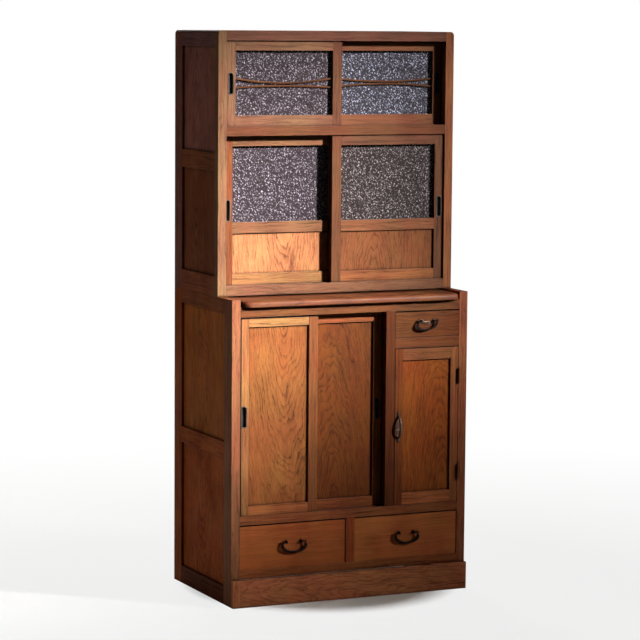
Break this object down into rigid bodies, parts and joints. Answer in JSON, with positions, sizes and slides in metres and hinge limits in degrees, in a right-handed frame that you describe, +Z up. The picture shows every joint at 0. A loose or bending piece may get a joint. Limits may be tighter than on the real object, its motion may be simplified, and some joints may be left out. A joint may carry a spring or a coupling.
{
  "type": "mizuya kitchen cabinet",
  "caption": "Tall two-tier wooden kitchen cabinet with glazed sliding doors above, and panelled sliding doors, a hinged door, drawers and a pull-out serving board below.",
  "frame": {"origin": "middle of the footprint, on the floor", "axes": "+X to the right as seen from the front, -Y towards the front, +Z up"},
  "size_m": [0.8, 0.49, 1.75],
  "materials": {
    "frame_wood": "oiled and worn, straight grain",
    "panel_wood": "oiled and worn, cathedral grain",
    "inside_wood": "bare, dusty softwood",
    "serving_wood": "worn to a soft shine",
    "obscure_glass": "pebbled and obscure",
    "dark_iron": "blackened and rubbed",
    "pull_metal": "dulled"
  },
  "bodies": {
    "case": {"upper_posts": "frame_wood", "upper_side_rails": "frame_wood", "upper_front_rails": "frame_wood", "lower_posts": "frame_wood", "lower_side_rails": "frame_wood", "lower_front_rails": "frame_wood", "lower_divider_posts": "frame_wood", "plinth_board": "frame_wood", "upper_side_panels": "panel_wood", "lower_side_panels": "panel_wood", "upper_top_board": "panel_wood", "upper_shelf_boards": "inside_wood", "shelf_cleats": "inside_wood", "back_rails": "inside_wood", "back_boards": "inside_wood", "lower_top_board": "inside_wood", "lower_shelf_boards": "inside_wood", "center_partition": "inside_wood", "drawer_runners": "inside_wood", "case_hinge_leaves": "dark_iron", "hinge_pins": "dark_iron"},
    "serving_board": {"serving_board": "serving_wood"},
    "top_left_door": {"top_left_door_frame": "frame_wood", "top_left_door_glass": "obscure_glass", "top_left_door_slats": "frame_wood", "top_left_door_pull": "pull_metal"},
    "top_right_door": {"top_right_door_frame": "frame_wood", "top_right_door_glass": "obscure_glass", "top_right_door_slats": "frame_wood", "top_right_door_pull": "pull_metal"},
    "middle_left_door": {"middle_left_door_frame": "frame_wood", "middle_left_door_glass": "obscure_glass", "middle_left_door_panel": "panel_wood", "middle_left_door_pull": "pull_metal"},
    "middle_right_door": {"middle_right_door_frame": "frame_wood", "middle_right_door_glass": "obscure_glass", "middle_right_door_panel": "panel_wood", "middle_right_door_pull": "pull_metal"},
    "base_left_door": {"base_left_door_frame": "frame_wood", "base_left_door_panel": "panel_wood", "base_left_door_pull": "pull_metal"},
    "base_right_door": {"base_right_door_frame": "frame_wood", "base_right_door_panel": "panel_wood", "base_right_door_pull": "pull_metal"},
    "hinged_door": {"hinged_door_frame": "frame_wood", "hinged_door_panel": "panel_wood", "hinged_door_pull": "dark_iron", "hinged_door_hinge_leaves": "dark_iron"},
    "small_drawer": {"small_drawer_front": "panel_wood", "small_drawer_box": "inside_wood", "small_drawer_eye_posts": "dark_iron"},
    "small_drawer_bail": {"small_drawer_bail": "dark_iron"},
    "left_drawer": {"left_drawer_front": "panel_wood", "left_drawer_box": "inside_wood", "left_drawer_eye_posts": "dark_iron"},
    "left_drawer_bail": {"left_drawer_bail": "dark_iron"},
    "right_drawer": {"right_drawer_front": "panel_wood", "right_drawer_box": "inside_wood", "right_drawer_eye_posts": "dark_iron"},
    "right_drawer_bail": {"right_drawer_bail": "dark_iron"}
  },
  "joints": [
    {"name": "top_left_door_slide", "type": "slide", "parent": "case", "child": "top_left_door", "axis": [1, 0, 0], "range_m": [0, 0.3555]},
    {"name": "top_right_door_slide", "type": "slide", "parent": "case", "child": "top_right_door", "axis": [1, 0, 0], "range_m": [-0.3555, 0]},
    {"name": "middle_left_door_slide", "type": "slide", "parent": "case", "child": "middle_left_door", "axis": [1, 0, 0], "range_m": [0, 0.3555]},
    {"name": "middle_right_door_slide", "type": "slide", "parent": "case", "child": "middle_right_door", "axis": [1, 0, 0], "range_m": [-0.3555, 0]},
    {"name": "base_left_door_slide", "type": "slide", "parent": "case", "child": "base_left_door", "axis": [1, 0, 0], "range_m": [0, 0.229]},
    {"name": "base_right_door_slide", "type": "slide", "parent": "case", "child": "base_right_door", "axis": [1, 0, 0], "range_m": [-0.229, 0]},
    {"name": "hinged_door_hinge", "type": "hinge", "parent": "case", "child": "hinged_door", "pos_m": [0.3715, -0.2289, 0.526], "axis": [0, 0, 1], "range_deg": [0, 110]},
    {"name": "serving_board_slide", "type": "slide", "parent": "case", "child": "serving_board", "axis": [0, -1, 0], "range_m": [0, 0.26]},
    {"name": "small_drawer_slide", "type": "slide", "parent": "case", "child": "small_drawer", "axis": [0, -1, 0], "range_m": [0, 0.3]},
    {"name": "small_drawer_bail_swing", "type": "hinge", "parent": "small_drawer", "child": "small_drawer_bail", "pos_m": [0.2605, -0.233, 0.857], "axis": [-1, 0, 0], "range_deg": [0, 90]},
    {"name": "left_drawer_slide", "type": "slide", "parent": "case", "child": "left_drawer", "axis": [0, -1, 0], "range_m": [0, 0.3]},
    {"name": "left_drawer_bail_swing", "type": "hinge", "parent": "left_drawer", "child": "left_drawer_bail", "pos_m": [-0.193, -0.233, 0.192], "axis": [-1, 0, 0], "range_deg": [0, 90]},
    {"name": "right_drawer_slide", "type": "slide", "parent": "case", "child": "right_drawer", "axis": [0, -1, 0], "range_m": [0, 0.3]},
    {"name": "right_drawer_bail_swing", "type": "hinge", "parent": "right_drawer", "child": "right_drawer_bail", "pos_m": [0.193, -0.233, 0.192], "axis": [-1, 0, 0], "range_deg": [0, 90]}
  ]
}
